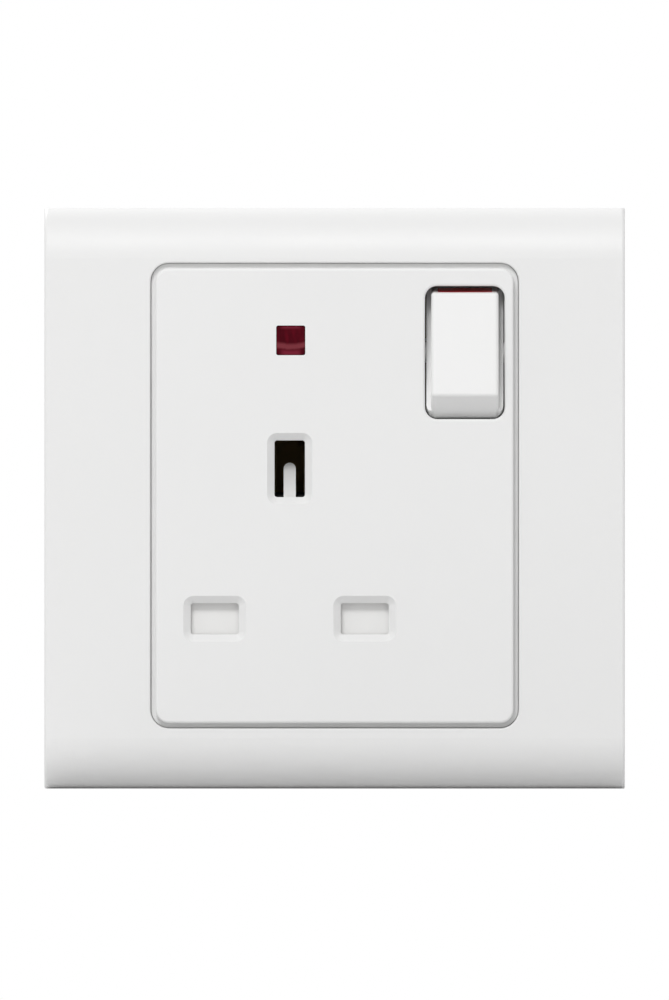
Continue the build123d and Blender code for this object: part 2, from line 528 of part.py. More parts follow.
# Rear housing: shallow behind the live pins, deep at the terminals, with a well for the earth contact
with BuildPart() as rear_housing:
    with BuildSketch(level(0)):
        RectangleRounded(housing_width, housing_height, HOUSING_CORNER)
    extrude(amount=floor_outside)
    fillet(rear_housing.faces().sort_by(Axis.Y)[-1].edges(), HOUSING_EDGE)
    with BuildSketch(level(0)):
        with Locations((0, chamber_middle)):
            RectangleRounded(housing_width, CHAMBER_LENGTH + 2 * HOUSING_WALL, HOUSING_CORNER)
    extrude(amount=housing_back)
    fillet(rear_housing.faces().sort_by(Axis.Y)[-1].edges(), HOUSING_EDGE)
    with BuildSketch(level(0)):
        with Locations((pins_x, (well_foot - HOUSING_WALL + chamber_z) / 2)):
            Rectangle(2 * (well_side + HOUSING_WALL), chamber_z - well_foot + HOUSING_WALL)
    extrude(amount=earth_floor - HOUSING_FLOOR)
    # Hollows
    with BuildSketch(level(0)):
        RectangleRounded(2 * housing_side, 2 * housing_top, HOUSING_CORNER - HOUSING_WALL)
    extrude(amount=live_floor, mode=Mode.SUBTRACT)
    with BuildSketch(level(0)):
        with Locations((0, chamber_middle)):
            Rectangle(2 * housing_side, CHAMBER_LENGTH)
    extrude(amount=chamber_floor, mode=Mode.SUBTRACT)
    with BuildSketch(level(0)):
        with Locations((pins_x, (well_foot + chamber_z) / 2)):
            Rectangle(2 * well_side, chamber_z - well_foot)
    extrude(amount=earth_floor, mode=Mode.SUBTRACT)
    # Cells round the live contacts, which also carry the shutter
    with BuildSketch(level(live_floor)):
        with Locations((neutral_x, (cell_foot - CELL_WALL + cell_top) / 2),
                       (line_x, (cell_foot - CELL_WALL + cell_top) / 2)):
            Rectangle(2 * (cell_side + CELL_WALL), cell_top - cell_foot + CELL_WALL)
        with Locations((neutral_x, (cell_foot + cell_top) / 2), (line_x, (cell_foot + cell_top) / 2)):
            Rectangle(2 * cell_side, cell_top - cell_foot, mode=Mode.SUBTRACT)
    extrude(amount=shutter_back - SHUTTER_PLAY - live_floor)
    # Walls beside the earth contact
    with BuildSketch(level(live_floor)):
        with Locations((pins_x, (well_foot + earth_wall_top) / 2)):
            with GridLocations(2 * well_side + CELL_WALL, 0, 2, 1):
                Rectangle(CELL_WALL, earth_wall_top - well_foot)
        with Locations((pins_x, well_foot - CELL_WALL / 2)):
            Rectangle(2 * (well_side + CELL_WALL), CELL_WALL)
    extrude(amount=EARTH_MOUTH - CELL_CLEARANCE - live_floor)
    # Ribs between the terminals
    with BuildSketch(level(chamber_floor)):
        with Locations(*[(x, chamber_middle) for x in rib_xs]):
            Rectangle(CELL_WALL, CHAMBER_LENGTH)
    extrude(amount=live_floor - chamber_floor)
    # Screw columns, the upper one with a shaft for its head
    with BuildSketch(level(0)):
        with Locations(*screw_places):
            Circle(SCREW_PILLAR)
    extrude(amount=live_floor)
    with BuildSketch(level(live_floor)):
        with Locations(top_screw):
            Circle(SCREW_HEAD + SCREW_CLEARANCE + SCREW_SHAFT_WALL)
    extrude(amount=chamber_floor - live_floor)
    with BuildSketch(level(housing_back)):
        with Locations(top_screw):
            Circle(SCREW_HEAD + SCREW_CLEARANCE)
    extrude(amount=floor_outside - housing_back, mode=Mode.SUBTRACT)
    with BuildSketch(level(0)):
        with Locations(*screw_places):
            Circle(SCREW_SHANK + SCREW_CLEARANCE)
    extrude(amount=floor_outside, mode=Mode.SUBTRACT)
    # Wire entries in the top, screwdriver holes in the back
    with BuildSketch(plan(housing_height / 2)):
        with Locations(*[(x, wire_level) for x in terminal_xs]):
            Circle(WIRE_ENTRY)
    extrude(amount=HOUSING_WALL, mode=Mode.SUBTRACT)
    with BuildSketch(level(housing_back)):
        with Locations(*[(x, block_z) for x in terminal_xs]):
            Circle(TERMINAL_ACCESS)
    extrude(amount=HOUSING_FLOOR, mode=Mode.SUBTRACT)
rear_housing.part.label = "rear_housing"
export_step(rear_housing.part, "parts/rear_housing.step")

# Neutral contact: one strip from the terminal along the floor, with a lower and an upper leaf round the pin
with BuildPart() as neutral_contact:
    with BuildSketch(side(neutral_x)):
        with BuildLine():
            FilletPolyline((block_front + STRIP / 2, bar_end), (block_front + STRIP / 2, step_z),
                           (live_floor + STRIP / 2, step_z), (live_floor + STRIP / 2, line_z - leaf_root),
                           (live_throat, line_z - leaf_throat), (CLIP_MOUTH, line_z - leaf_mouth),
                           radius=STRIP_BEND)
        trace(line_width=STRIP)
        with BuildLine():
            FilletPolyline((live_floor + STRIP / 2, line_z + leaf_root), (live_throat, line_z + leaf_throat),
                           (CLIP_MOUTH, line_z + leaf_mouth), radius=STRIP_BEND)
        trace(line_width=STRIP)
    extrude(amount=CLIP_WIDTH / 2, both=True)
neutral_contact.part.label = "neutral_contact"
export_step(neutral_contact.part, "parts/neutral_contact.step")

# Line contact: the same leaves, on a bar that leads up to the switch's fixed contact
with BuildPart() as line_contact:
    with BuildSketch(side(line_x)):
        with BuildLine():
            FilletPolyline((live_floor + STRIP / 2, line_arm_z), (live_floor + STRIP / 2, line_z - leaf_root),
                           (live_throat, line_z - leaf_throat), (CLIP_MOUTH, line_z - leaf_mouth),
                           radius=STRIP_BEND)
        trace(line_width=STRIP)
        with BuildLine():
            FilletPolyline((live_floor + STRIP / 2, line_z + leaf_root), (live_throat, line_z + leaf_throat),
                           (CLIP_MOUTH, line_z + leaf_mouth), radius=STRIP_BEND)
        trace(line_width=STRIP)
    extrude(amount=CLIP_WIDTH / 2, both=True)
    with BuildSketch(level(live_floor)):
        with BuildLine():
            Polyline((line_x, line_arm_z), (line_bar_x, line_arm_z), (line_bar_x, fixed_z),
                     (switch_x + TIP_RADIUS, fixed_z))
        trace(line_width=LINE_BAR_WIDTH)
    extrude(amount=STRIP)
line_contact.part.label = "line_contact"
export_step(line_contact.part, "parts/line_contact.step")

# Earth contact: two leaves beside the pin, on a strip along the well to the terminal
with BuildPart() as earth_contact:
    with BuildSketch(plan(earth_z + EARTH_CLIP_WIDTH / 2)):
        with BuildLine():
            FilletPolyline((pins_x - leaf_mouth, EARTH_MOUTH), (pins_x - leaf_throat, earth_throat),
                           (pins_x - leaf_root, earth_floor + STRIP / 2),
                           (pins_x + leaf_root, earth_floor + STRIP / 2),
                           (pins_x + leaf_throat, earth_throat), (pins_x + leaf_mouth, EARTH_MOUTH),
                           radius=STRIP_BEND)
        trace(line_width=STRIP)
    extrude(amount=EARTH_CLIP_WIDTH)
    with BuildSketch(side(pins_x)):
        with BuildLine():
            Line((earth_floor + STRIP / 2, earth_z), (earth_floor + STRIP / 2, bar_end))
        trace(line_width=STRIP)
    extrude(amount=BAR_WIDTH / 2, both=True)
earth_contact.part.label = "earth_contact"
export_step(earth_contact.part, "parts/earth_contact.step")

# Line feed bracket: strip on the line terminal, turned forward to carry the fulcrum of the rocking contact
with BuildPart() as line_feed_bracket:
    with BuildSketch(side(switch_x)):
        with BuildLine():
            FilletPolyline((block_front + STRIP / 2, bar_end), (block_front + STRIP / 2, switch_z),
                           (fulcrum_level, switch_z), radius=STRIP_BEND)
        trace(line_width=STRIP)
        with Locations((fulcrum_level, switch_z)):
            Circle(STRIP / 2)
    extrude(amount=LEVER_WIDTH / 2, both=True)
line_feed_bracket.part.label = "line_feed_bracket"
export_step(line_feed_bracket.part, "parts/line_feed_bracket.step")

# Terminals: brass blocks with a bore for the wire and a threaded hole for the screw
for terminal_name, x in zip(("neutral_terminal", "earth_terminal", "line_terminal"), terminal_xs):
    with BuildPart() as terminal:
        with BuildSketch(level(chamber_floor)):
            with Locations((x, block_z)):
                RectangleRounded(BLOCK_WIDTH, BLOCK_HEIGHT, BLOCK_ROUND)
        extrude(amount=BLOCK_DEPTH)
        with BuildSketch(plan(block_z + BLOCK_HEIGHT / 2)):
            with Locations((x, wire_level)):
                Circle(WIRE_BORE)
        extrude(amount=BLOCK_HEIGHT, mode=Mode.SUBTRACT)
        with BuildSketch(level(chamber_floor)):
            with Locations((x, block_z)):
                Circle(TERMINAL_SCREW + THREAD_PLAY)
        extrude(amount=wire_level - chamber_floor, mode=Mode.SUBTRACT)
    terminal.part.label = terminal_name
    export_step(terminal.part, f"parts/{terminal_name}.step")

# Terminal screws: cheese heads with a driver slot, flush with the housing's back
with BuildPart() as terminal_screws:
    with BuildSketch(level(housing_back)):
        with Locations(*[(x, block_z) for x in terminal_xs]):
            Circle(TERMINAL_HEAD)
    extrude(amount=TERMINAL_HEAD_HEIGHT)
    with BuildSketch(level(housing_back)):
        with Locations(*[(x, block_z) for x in terminal_xs]):
            Circle(TERMINAL_SCREW)
    extrude(amount=wire_level - WIRE_BORE - THREAD_PLAY - housing_back)
    with BuildSketch(level(housing_back)):
        with Locations(*[(x, block_z) for x in terminal_xs]):
            Rectangle(2 * TERMINAL_HEAD, DRIVER_SLOT)
    extrude(amount=DRIVER_SLOT_DEPTH, mode=Mode.SUBTRACT)
terminal_screws.part.label = "terminal_screws"
export_step(terminal_screws.part, "parts/terminal_screws.step")

# Housing screws: through housing and mounting plate into the cover's pillars
with BuildPart() as housing_screws:
    with BuildSketch(level(floor_outside - SCREW_HEAD_HEIGHT)):
        with Locations(*screw_places):
            Circle(SCREW_HEAD)
    extrude(amount=SCREW_HEAD_HEIGHT)
    with BuildSketch(level(floor_outside)):
        with Locations(*screw_places):
            Circle(SCREW_SHANK)
    extrude(amount=SCREW_LENGTH)
    with BuildSketch(level(floor_outside - SCREW_HEAD_HEIGHT)):
        with Locations(*screw_places):
            Rectangle(2 * CROSS_ARM, DRIVER_SLOT)
            Rectangle(DRIVER_SLOT, 2 * CROSS_ARM)
    extrude(amount=DRIVER_SLOT_DEPTH, mode=Mode.SUBTRACT)
housing_screws.part.label = "housing_screws"
export_step(housing_screws.part, "parts/housing_screws.step")

# Shutter: bar across the live slots, stem, and a ramp that the earth pin pushes down
with BuildPart() as shutter:
    with BuildSketch(side(pins_x)):
        with BuildLine():
            Polyline((shutter_front, slot_foot), (ramp_back, slot_foot + TONGUE_HEIGHT),
                     (ramp_back, slot_foot), (shutter_back, ramp_foot), (shutter_front, ramp_foot),
                     (shutter_front, slot_foot))
        make_face()
    extrude(amount=TONGUE_WIDTH / 2, both=True)
    with BuildSketch(level(ramp_back)):
        with BuildLine():
            Polyline((pins_x - TONGUE_WIDTH / 2, tongue_shoulder), (pins_x - TONGUE_WIDTH / 2, ramp_foot),
                     (pins_x + TONGUE_WIDTH / 2, ramp_foot), (pins_x + TONGUE_WIDTH / 2, tongue_shoulder))
            ThreePointArc((pins_x + TONGUE_WIDTH / 2, tongue_shoulder), (pins_x, slot_foot + TONGUE_HEIGHT),
                          (pins_x - TONGUE_WIDTH / 2, tongue_shoulder))
        make_face()
    extrude(amount=shutter_front - ramp_back, mode=Mode.INTERSECT)
    with BuildSketch(level(shutter_back)) as shutter_outline:
        with Locations(((shutter_left + shutter_right) / 2, line_z)):
            Rectangle(shutter_right - shutter_left, shutter_top - shutter_foot)
        with Locations((pins_x, (line_z + slot_foot - SHUTTER_PLAY) / 2)):
            Rectangle(SHUTTER_STEM, slot_foot - SHUTTER_PLAY - line_z)
        inner = shutter_outline.vertices().filter_by_position(Axis.Z, shutter_top - 0.01, shutter_top + 0.01)
        fillet(inner.sort_by(Axis.X)[1:3], SHUTTER_FILLET)
    extrude(amount=SHUTTER_THICKNESS)
    # Pad and peg for the spring
    with BuildSketch(plan(shutter_foot)):
        with Locations((pins_x, (shutter_front + pad_back) / 2)):
            Rectangle(2 * (SHUTTER_COIL + SHUTTER_WIRE), shutter_front - pad_back)
    extrude(amount=-SHUTTER_LAP)
    with BuildSketch(plan(shutter_foot)):
        with Locations((pins_x, spring_level)):
            Circle(PEG)
    extrude(amount=PEG_LENGTH)
shutter.part.label = "shutter"
export_step(shutter.part, "parts/shutter.step")

# Shutter spring: coil between the shutter's foot and the cover's lower wall
with BuildPart() as shutter_spring:
    with BuildLine() as coil:
        Helix(shutter_spring_length / SHUTTER_TURNS, shutter_spring_length, SHUTTER_COIL,
              center=(pins_x, -spring_level, shutter_foot - SPRING_SEAT - SHUTTER_WIRE), direction=(0, 0, -1))
    with BuildSketch(Plane(origin=coil.line @ 0, z_dir=coil.line % 0)):
        Circle(SHUTTER_WIRE)
    sweep(path=coil.line, is_frenet=True)
shutter_spring.part.label = "shutter_spring"
export_step(shutter_spring.part, "parts/shutter_spring.step")

# Rocker: flat face, ends that flare back to a skirt round the pivot, hollow behind, with trunnions and a stem
rocker_plane = side(switch_x, pivot_level, switch_z, -ROCK_ANGLE)
rocker_axis = Axis(rocker_plane.origin, rocker_plane.x_dir)
stem_plane = Plane(origin=rocker_plane.from_local_coords((-stem_length, 0, 0)), z_dir=rocker_plane.x_dir)
with BuildPart() as rocker:
    with BuildSketch(rocker_plane):
        with BuildLine():
            Polyline((0, -skirt_radius), (ROCKER_FACE, -half_face), (ROCKER_FACE, half_face),
                     (0, skirt_radius))
            TangentArc((0, skirt_radius), (-ROCKER_BACK, skirt_back), tangent=(-1, 0))
            Line((-ROCKER_BACK, skirt_back), (-ROCKER_BACK, -skirt_back))
            TangentArc((0, -skirt_radius), (-ROCKER_BACK, -skirt_back), tangent=(-1, 0))
        make_face()
    extrude(amount=ROCKER_WIDTH / 2, both=True)
    back = rocker.faces().sort_by(rocker_axis)[0]
    fillet(rocker.edges() - back.edges(), ROCKER_ROUND)
    with BuildSketch(rocker_plane):
        with BuildLine():
            Line((FLANGE_FRONT, -flange_chord), (FLANGE_FRONT, flange_chord))
            ThreePointArc((FLANGE_FRONT, flange_chord), (0, FLANGE_RADIUS), (-ROCKER_BACK, flange_back))
            Line((-ROCKER_BACK, flange_back), (-ROCKER_BACK, -flange_back))
            ThreePointArc((-ROCKER_BACK, -flange_back), (0, -FLANGE_RADIUS), (FLANGE_FRONT, -flange_chord))
        make_face()
    extrude(amount=ROCKER_WIDTH / 2 + FLANGE_SIDE, both=True)
    with BuildSketch(rocker_plane):
        with BuildLine():
            Polyline((inner_face, -inner_half), (inner_face, inner_half), (-ROCKER_BACK, inner_back),
                     (-ROCKER_BACK, -inner_back), (inner_face, -inner_half))
        make_face()
    extrude(amount=ROCKER_WIDTH / 2 - ROCKER_WALL, both=True, mode=Mode.SUBTRACT)
    with BuildSketch(stem_plane):
        Circle(STEM)
    extrude(amount=stem_length + inner_face)
    with BuildSketch(stem_plane):
        Circle(STEM_BORE)
    extrude(amount=stem_length + STEM_BORE_TOP, mode=Mode.SUBTRACT)
    for x in (switch_x + trunnion_end, switch_x - ROCKER_WIDTH / 2):
        with BuildSketch(side(x, pivot_level, switch_z)):
            Circle(TRUNNION)
        extrude(amount=TRUNNION_LENGTH)
    with BuildSketch(rocker_plane):
        with BuildLine():
            Polyline(*mark_outline, mark_outline[0])
        make_face()
    extrude(amount=MARK_WIDTH / 2, both=True, mode=Mode.SUBTRACT)
rocker.part.label = "rocker"
export_step(rocker.part, "parts/rocker.step")

# Rocker mark: red insert in the rocker's upper end, which stands out of the aperture when the switch is on
with BuildPart() as rocker_mark:
    with BuildSketch(rocker_plane):
        with BuildLine():
            Polyline(*mark_outline, mark_outline[0])
        make_face()
    extrude(amount=MARK_WIDTH / 2, both=True)
rocker_mark.part.label = "rocker_mark"
export_step(rocker_mark.part, "parts/rocker_mark.step")

# Rocker plunger: round-nosed pin in the rocker's stem
with BuildPart() as rocker_plunger:
    with BuildSketch(rocker_plane):
        with BuildLine():
            Polyline((-plunger_tip, 0), (-plunger_head, 0), (-plunger_head, PLUNGER),
                     (PLUNGER - plunger_tip, PLUNGER))
            TangentArc((PLUNGER - plunger_tip, PLUNGER), (-plunger_tip, 0), tangent=(-1, 0))
        make_face()
    revolve(axis=rocker_axis)
rocker_plunger.part.label = "rocker_plunger"
export_step(rocker_plunger.part, "parts/rocker_plunger.step")

# Rocker spring: coil between the stem's closed end and the plunger
with BuildPart() as rocker_spring:
    with BuildLine() as coil:
        Helix(rocker_spring_length / ROCKER_TURNS, rocker_spring_length, ROCKER_COIL,
              center=rocker_plane.from_local_coords((SPRING_SEAT + ROCKER_WIRE - plunger_head, 0, 0)),
              direction=rocker_plane.x_dir)
    with BuildSketch(Plane(origin=coil.line @ 0, z_dir=coil.line % 0)):
        Circle(ROCKER_WIRE)
    sweep(path=coil.line, is_frenet=True)
rocker_spring.part.label = "rocker_spring"
export_step(rocker_spring.part, "parts/rocker_spring.step")

# Contact lever: shallow vee of sheet that rocks on the feed bracket's edge
lever_plane = side(switch_x, fulcrum_level, switch_z, LEVER_TILT)
with BuildPart() as contact_lever:
    with BuildSketch(lever_plane):
        with BuildLine():
            FilletPolyline((lever_tip, LEVER_ARM), (LEVER_SEAT, 0), (lever_tip, -LEVER_ARM),
                           radius=STRIP_BEND)
        trace(line_width=LEVER_THICKNESS)
        Circle(STRIP / 2 + FULCRUM_PLAY, mode=Mode.SUBTRACT)
    extrude(amount=LEVER_WIDTH / 2, both=True)
contact_lever.part.label = "contact_lever"
export_step(contact_lever.part, "parts/contact_lever.step")

# Contact tips: silver buttons on the lever's upper arm and on the line contact's bar
with BuildPart() as moving_contact_tip:
    tip_seat = lever_plane.from_local_coords((tip_seat_u, tip_seat_v, 0))
    tip_end = lever_plane.from_local_coords((tip_u, tip_v, 0))
    with BuildSketch(Plane(origin=tip_seat, z_dir=tip_end - tip_seat)):
        Circle(TIP_RADIUS)
    extrude(amount=TIP_HEIGHT)
moving_contact_tip.part.label = "moving_contact_tip"
export_step(moving_contact_tip.part, "parts/moving_contact_tip.step")

with BuildPart() as fixed_contact_tip:
    with BuildSketch(level(live_floor + STRIP)):
        with Locations((switch_x, fixed_z)):
            Circle(TIP_RADIUS)
    extrude(amount=FIXED_TIP_HEIGHT)
fixed_contact_tip.part.label = "fixed_contact_tip"
export_step(fixed_contact_tip.part, "parts/fixed_contact_tip.step")

# Neon lens: red block with a flange behind the cover's front wall
with BuildPart() as neon_lens:
    with BuildSketch(level(wall_back)):
        with Locations((neon_x, neon_z)):
            RectangleRounded(LENS_WIDTH - 2 * LENS_PLAY, LENS_HEIGHT - 2 * LENS_PLAY, LENS_ROUND)
    extrude(amount=COVER_FRONT - LENS_RECESS)
    with BuildSketch(level(wall_back)):
        with Locations((neon_x, neon_z)):
            RectangleRounded(LENS_WIDTH + 2 * LENS_FLANGE_LAP, LENS_HEIGHT + 2 * LENS_FLANGE_LAP, LENS_ROUND)
    extrude(amount=-LENS_FLANGE)
neon_lens.part.label = "neon_lens"
export_step(neon_lens.part, "parts/neon_lens.step")

# Neon lamp: glass bulb with a sealing pip in front and a pinched base
with BuildPart() as neon_lamp:
    with BuildSketch(side(neon_x, 0, neon_z)):
        with BuildLine():
            Polyline((lamp_front, 0), (lamp_back, 0), (lamp_back, LAMP_PINCH),
                     (lamp_back + LAMP_PINCH, LAMP_RADIUS), (lamp_shoulder, LAMP_RADIUS))
            TangentArc((lamp_shoulder, LAMP_RADIUS), (lamp_front - LAMP_PIP, LAMP_PIP), tangent=(1, 0))
            Polyline((lamp_front - LAMP_PIP, LAMP_PIP), (lamp_front, LAMP_PIP / 2), (lamp_front, 0))
        make_face()
    revolve(axis=Axis((neon_x, 0, neon_z), (0, 1, 0)))
neon_lamp.part.label = "neon_lamp"
export_step(neon_lamp.part, "parts/neon_lamp.step")

# Resistor of the lamp, with its raised ends
with BuildPart() as neon_resistor:
    with BuildSketch(plan(neon_z)):
        with BuildLine():
            Polyline((resistor_left, lead_level), (resistor_left, resistor_waist),
                     (resistor_left + RESISTOR_WAIST, resistor_crest),
                     (resistor_left + RESISTOR_RADIUS, resistor_crest),
                     (resistor_left + RESISTOR_RADIUS + RESISTOR_WAIST, resistor_waist),
                     (resistor_x, resistor_waist), (resistor_x, lead_level), (resistor_left, lead_level))
        make_face()
    revolve(axis=Axis((0, -lead_level, neon_z), (1, 0, 0)))
    mirror(about=Plane.YZ.offset(resistor_x))
neon_resistor.part.label = "neon_resistor"
export_step(neon_resistor.part, "parts/neon_resistor.step")

# Leads of the lamp: one to the neutral strip, two on the line side with the resistor between them
with BuildPart() as neon_lead_neutral:
    with BuildLine(plan(neon_z)) as wire:
        FilletPolyline((neon_x - LEAD_PITCH / 2, lamp_back), (neon_x - LEAD_PITCH / 2, lead_level),
                       (neutral_x + LEAD_BEND, lead_level), (neutral_x + LEAD_BEND, block_front + STRIP),
                       radius=LEAD_BEND)
    with BuildSketch(Plane(origin=wire.line @ 0, z_dir=wire.line % 0)):
        Circle(LEAD)
    sweep(path=wire.line)
neon_lead_neutral.part.label = "neon_lead_neutral"
export_step(neon_lead_neutral.part, "parts/neon_lead_neutral.step")

with BuildPart() as neon_lead_line:
    with BuildLine(plan(neon_z)) as wire:
        FilletPolyline((neon_x + LEAD_PITCH / 2, lamp_back), (neon_x + LEAD_PITCH / 2, lead_level),
                       (resistor_left, lead_level), radius=LEAD_BEND)
    with BuildSketch(Plane(origin=wire.line @ 0, z_dir=wire.line % 0)):
        Circle(LEAD)
    sweep(path=wire.line)
    with BuildLine(plan(neon_z)) as wire:
        FilletPolyline((resistor_left + RESISTOR_LENGTH, lead_level), (line_bar_x, lead_level),
                       (line_bar_x, live_floor + STRIP), radius=LEAD_BEND)
    with BuildSketch(Plane(origin=wire.line @ 0, z_dir=wire.line % 0)):
        Circle(LEAD)
    sweep(path=wire.line)
neon_lead_line.part.label = "neon_lead_line"
export_step(neon_lead_line.part, "parts/neon_lead_line.step")
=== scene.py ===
import json
import math

import bpy
import numpy as np
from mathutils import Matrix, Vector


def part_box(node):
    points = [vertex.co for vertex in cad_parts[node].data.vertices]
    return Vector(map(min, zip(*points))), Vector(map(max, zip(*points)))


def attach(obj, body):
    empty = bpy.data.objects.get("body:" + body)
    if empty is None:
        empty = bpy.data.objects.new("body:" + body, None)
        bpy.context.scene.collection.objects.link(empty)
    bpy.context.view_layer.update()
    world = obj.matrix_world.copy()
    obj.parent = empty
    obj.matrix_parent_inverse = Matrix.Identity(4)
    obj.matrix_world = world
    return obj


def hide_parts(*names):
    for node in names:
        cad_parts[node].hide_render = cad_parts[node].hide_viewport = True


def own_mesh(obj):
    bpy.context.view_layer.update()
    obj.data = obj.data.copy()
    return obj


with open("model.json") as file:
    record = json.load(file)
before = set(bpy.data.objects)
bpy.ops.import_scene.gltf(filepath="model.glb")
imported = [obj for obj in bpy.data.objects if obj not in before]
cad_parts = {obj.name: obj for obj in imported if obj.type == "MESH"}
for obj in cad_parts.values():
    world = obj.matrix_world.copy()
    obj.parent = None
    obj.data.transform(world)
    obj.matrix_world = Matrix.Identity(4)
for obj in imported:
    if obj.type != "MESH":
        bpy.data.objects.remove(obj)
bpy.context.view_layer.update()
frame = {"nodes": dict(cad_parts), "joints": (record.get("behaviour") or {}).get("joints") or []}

# Switched wall socket, seen straight from the front. Everything is in metres in the frame of the model:
# X to the right, Z up, the front faces -Y.

NODES = frame["nodes"]
JOINTS = {joint["name"]: joint for joint in frame["joints"]}
PLATE_LOW, PLATE_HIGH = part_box("front_frame")
RIGHT = np.array([1.0, 0.0, 0.0])
UP = np.array([0.0, 0.0, 1.0])

# Picture
PICTURE = (669, 1000)
PLATE_PIXELS = 580.5  # the plate's height in the picture
PLATE_MIDDLE_PIXEL = (334.6, 498.3)
CAMERA_DISTANCE = 0.9

# Light
AMBIENT_ABOVE = 0.58
AMBIENT_BELOW = 0.22
SKY_LOW, SKY_HIGH = -0.7, 0.5  # the sky turns from one to the other between these heights
KEY_AZIMUTH = -12.0
KEY_ELEVATION = 39.0
KEY_POWER = 20.2
BACK_AZIMUTH = 205.0
BACK_ELEVATION = 40.0
BACK_POWER = 16.0
LAMP_DISTANCE = 2.2
LAMP_SIZE = 0.6

# Floor
FLOOR_SIZE = 40.0
FLOOR_DROP = 0.0001  # below the plate's lower edge
FLOOR_TONE = 0.74
FLOOR_ROUGHNESS = 0.9
FLOOR_LIFT = 0.28  # glow that makes the floor white beside the plate
FLOOR_LIFT_FAR = 0.60  # the same, where the lamps no longer reach
FLOOR_NEAR = 0.3
FLOOR_FAR = 2.0

# Springs
COIL = 0.0013  # from the middle of the coil to the middle of the wire
SHUTTER_WIRE = 0.00024  # half the wire's thickness
SHUTTER_TURNS = 6
ROCKER_WIRE = 0.00022
ROCKER_TURNS = 5
ROCKER_SPRING_FOOT = 0.00293  # in front of the rocker's pivot
ROCKER_SPRING_LENGTH = 0.006164
TURN_STEPS = 40
WIRE_STEPS = 12

# Rocker's flange at the corners of the switch aperture, measured from the pivot
APERTURE_HALF_WIDTH = 0.0059
APERTURE_HALF_HEIGHT = 0.00985
APERTURE_CORNER = 0.0018
APERTURE_BACK = 0.0018  # the cover's inner face lies this far in front of the pivot
APERTURE_CLEARANCE = 0.00012
ROCKER_INSIDE = 0.00475  # the corners reach this far into the rocker's side
ROCKER_END = 0.00978
ROCKER_FLARE = 0.3666  # the end draws in by this share of the way to the front
FLANGE_BACK = -0.00099
FLANGE_FRONT = 0.00159
FLANGE_HALF_WIDTH = 0.00569
FLANGE_START = 0.0084
FLANGE_POWER = 10.0
CORNER_STEPS = 16
PROFILE_STEPS = 48

# Grain of the finishes: sizes and depths in metres
FLOW = 0.024  # clouds where the plastic flowed into the mould
FLOW_SHARE = 0.7  # of the colour's change, the rest is specks
FLOW_SHADE = (0.014, 0.014, 0.018)  # how much darker the clouds are
SPECK = 0.0004
SKIN = 0.0007
SKIN_DEPTH = 0.000006
SAND = 0.0005  # pits left by spark erosion
SAND_DEPTH = 0.00002
SAND_SHARE = 0.8  # of the colour's change, the rest is rubbed patches
SAND_GAIN, SAND_LIFT = 1.16, 0.006  # how much lighter the grains are
FINE_SAND = 0.0003
FINE_SAND_DEPTH = 0.000006
RUBBED = 0.009
MARK_CLOUD = 0.003
MARK_SKIN = 0.0006
MARK_SKIN_DEPTH = 0.000004
ROLLING = 0.00012  # lines left by the rolls
ROLLING_DEPTH = 0.000006
ROLLING_SHADE = 0.9
ROLLING_WEAR = 0.5
TARNISH = 0.004
TARNISH_EDGE = (0.45, 0.72)
TARNISH_SHARE = 0.6
TOOL_PITCH = 0.00018  # rings left by the turning tool
TOOL_DEPTH = 0.000003
PATCH = 0.0025
PATCH_EDGE = (0.35, 0.75)
SCRATCH = 0.0002
SCRATCH_DEPTH = 0.000004
SCRATCH_SHADE = 0.72
STAIN = 0.002
LACQUER_CLOUD = 0.001
LACQUER_SKIN = 0.0006
MOST = (0.2, 0.8)  # where most of a noise lies
HALF = (0.25, 0.75)
MIDDLE = (0.3, 0.7)

# Neon lens: sizes in metres, places in shares of half its window from the middle
LENS_LAP = 0.001  # flange of the lens behind its window, each side
LENS_STREAK = 0.0011
LENS_RIPPLE = 0.0009
LENS_RIPPLE_DEPTH = 0.00001
LENS_SAG = 0.16
LENS_WAVER = 0.2
# Painted light in the lens's top and lower edges: where it fades sideways, and the heights where it lies
LENS_SIDES = (0.7, 0.1)  # the painted light in the edges fades sideways between these squares
LENS_TOP_EDGE_LIGHT = (0.70, 0.92)
LENS_LOW_EDGE_LIGHT = (-0.60, -0.82)
LENS_BAND_FOOT = (-0.72, -0.52)
LENS_BAND_HEAD = (-0.14, -0.40)
LENS_BAND_SHARE = 0.85

# Refraction
PLASTIC_IOR = 1.5
DULL_PLASTIC_IOR = 1.48
LENS_IOR = 1.53
GLASS_IOR = 1.47

# Colours
BRASS, BRASS_DARK = (0.80, 0.60, 0.28), (0.40, 0.25, 0.10)
# Bronze of the contacts is darker than clean metal: partly the metal's colour, partly painted shade for
# the earth slot
BRONZE, BRONZE_DARK = (0.30, 0.21, 0.10), (0.10, 0.065, 0.035)
COPPER, COPPER_DARK = (0.78, 0.42, 0.28), (0.36, 0.17, 0.10)
STEEL, STEEL_DARK = (0.46, 0.46, 0.45), (0.26, 0.26, 0.25)
SILVER, SILVER_DARK = (0.86, 0.85, 0.82), (0.50, 0.48, 0.45)
MOUNT_GREY = (0.62, 0.62, 0.61)
HOUSING_BLACK = (0.022, 0.022, 0.024)
NYLON = (0.72, 0.70, 0.62)
MARK_RED, MARK_RED_PALE = (0.69, 0.020, 0.032), (0.76, 0.028, 0.042)
LENS_CORE, LENS_CORE_PALE = (0.060, 0.0016, 0.006), (0.105, 0.003, 0.010)
